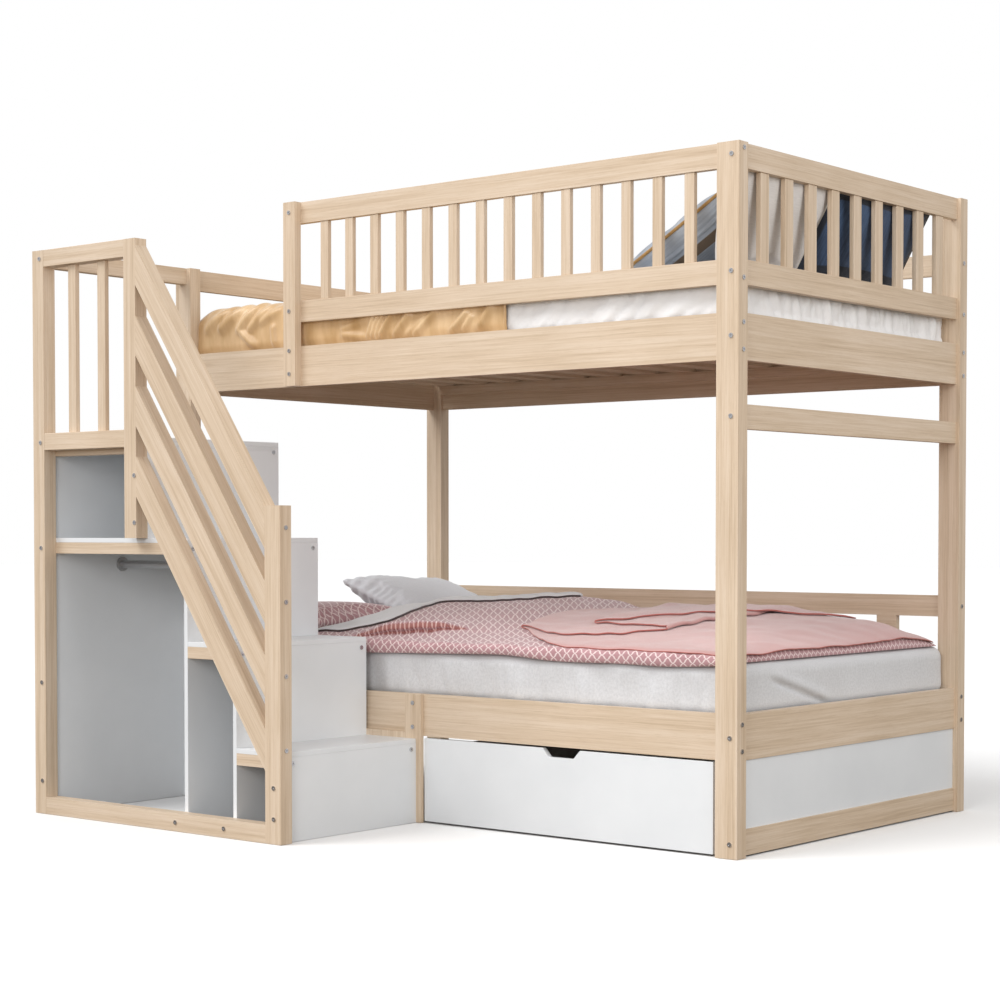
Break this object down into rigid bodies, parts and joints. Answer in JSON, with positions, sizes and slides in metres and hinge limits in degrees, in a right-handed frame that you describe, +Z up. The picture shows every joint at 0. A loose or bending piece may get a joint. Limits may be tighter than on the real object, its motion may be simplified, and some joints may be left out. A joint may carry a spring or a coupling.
{
  "type": "bunk bed with stairs",
  "caption": "Wooden bunk bed with a stair unit that holds a wardrobe and shelves, slatted guards, an under-bed drawer on castors and made-up bedding.",
  "frame": {"origin": "on the floor, under the middle of the whole piece's outline in plan", "axes": "+X along the bed from the stair end to the right end, +Y from the stair's front to the bed's back, +Z up"},
  "size_m": [2.205, 1.88, 1.9],
  "materials": {
    "oak": "pale natural oak, matt lacquer",
    "white_board": "white satin lacquer",
    "bolt": "polished",
    "hang_rail": "brushed",
    "castor_steel": "zinc plated",
    "castor_wheel": "matt",
    "mattress_white": "white cotton sheet",
    "mattress_grey": "pale grey cotton sheet",
    "duvet_pink": "printed cotton",
    "blanket_pink": "plain woven",
    "throw_gold": "satin weave",
    "pillow_pink": "printed cotton",
    "pillow_grey": "plain cotton",
    "cushion_grey": "plain woven",
    "cushion_navy": "denim",
    "cushion_denim": "washed denim"
  },
  "bodies": {
    "frame": {"bolts": "bolt", "guard_back_rails": "oak", "guard_front_batten": "oak", "guard_front_rails": "oak", "guard_front_slats": "oak", "guard_left_rail": "oak", "guard_right_rails": "oak", "guard_right_slats": "oak", "hang_rail": "hang_rail", "lower_back_guard": "oak", "lower_back_rail": "oak", "lower_batten": "oak", "lower_bed_slats": "oak", "lower_blanket": "blanket_pink", "lower_duvet": "duvet_pink", "lower_end_rails": "oak", "lower_front_rail": "oak", "lower_mattress": "mattress_grey", "lower_pillow_grey": "pillow_grey", "lower_pillow_pink": "pillow_pink", "post_back_left": "oak", "post_back_right": "oak", "post_front_left": "oak", "post_front_right": "oak", "right_bottom_rail": "oak", "right_mid_rail": "oak", "right_panel": "white_board", "slat_ledges": "oak", "stair_back_panels": "white_board", "stair_bottom_rail": "oak", "stair_guard_rails": "oak", "stair_guard_slats": "oak", "stair_left_panel": "white_board", "stair_link_rail": "oak", "stair_platform": "white_board", "stair_post_left": "oak", "stair_post_mid": "oak", "stair_post_right": "oak", "stair_risers": "white_board", "stair_shelf": "white_board", "stair_slanted_rails": "oak", "stair_tread_battens": "oak", "stair_treads": "white_board", "upper_back_rail": "oak", "upper_bed_slats": "oak", "upper_cushion_denim": "cushion_denim", "upper_cushion_grey": "cushion_grey", "upper_cushion_navy": "cushion_navy", "upper_end_rails": "oak", "upper_front_rail": "oak", "upper_mattress": "mattress_white", "upper_throw": "throw_gold"},
    "drawer": {"drawer_front": "white_board", "drawer_walls": "white_board", "drawer_bottom": "white_board", "castor_housings": "castor_steel"},
    "wheel_front_left": {"castor_wheel_front_left": "castor_wheel"},
    "wheel_rear_left": {"castor_wheel_rear_left": "castor_wheel"},
    "wheel_front_right": {"castor_wheel_front_right": "castor_wheel"},
    "wheel_rear_right": {"castor_wheel_rear_right": "castor_wheel"}
  },
  "joints": [
    {"name": "drawer_slide", "type": "slide", "parent": "frame", "child": "drawer", "axis": [0, -1, 0], "range_m": [0, 0.6]},
    {"name": "wheel_front_left_spin", "type": "hinge", "parent": "drawer", "child": "wheel_front_left", "pos_m": [0.062, -0.2625, 0.02], "axis": [1, 0, 0], "range_deg": [0, 1720]},
    {"name": "wheel_rear_left_spin", "type": "hinge", "parent": "drawer", "child": "wheel_rear_left", "pos_m": [0.062, 0.3375, 0.02], "axis": [1, 0, 0], "range_deg": [0, 1720]},
    {"name": "wheel_front_right_spin", "type": "hinge", "parent": "drawer", "child": "wheel_front_right", "pos_m": [0.936, -0.2625, 0.02], "axis": [1, 0, 0], "range_deg": [0, 1720]},
    {"name": "wheel_rear_right_spin", "type": "hinge", "parent": "drawer", "child": "wheel_rear_right", "pos_m": [0.936, 0.3375, 0.02], "axis": [1, 0, 0], "range_deg": [0, 1720]}
  ],
  "couplings": [
    {"joint": "wheel_front_left_spin", "follows": "drawer_slide", "rad_per_m": 50},
    {"joint": "wheel_rear_left_spin", "follows": "drawer_slide", "rad_per_m": 50},
    {"joint": "wheel_front_right_spin", "follows": "drawer_slide", "rad_per_m": 50},
    {"joint": "wheel_rear_right_spin", "follows": "drawer_slide", "rad_per_m": 50}
  ]
}
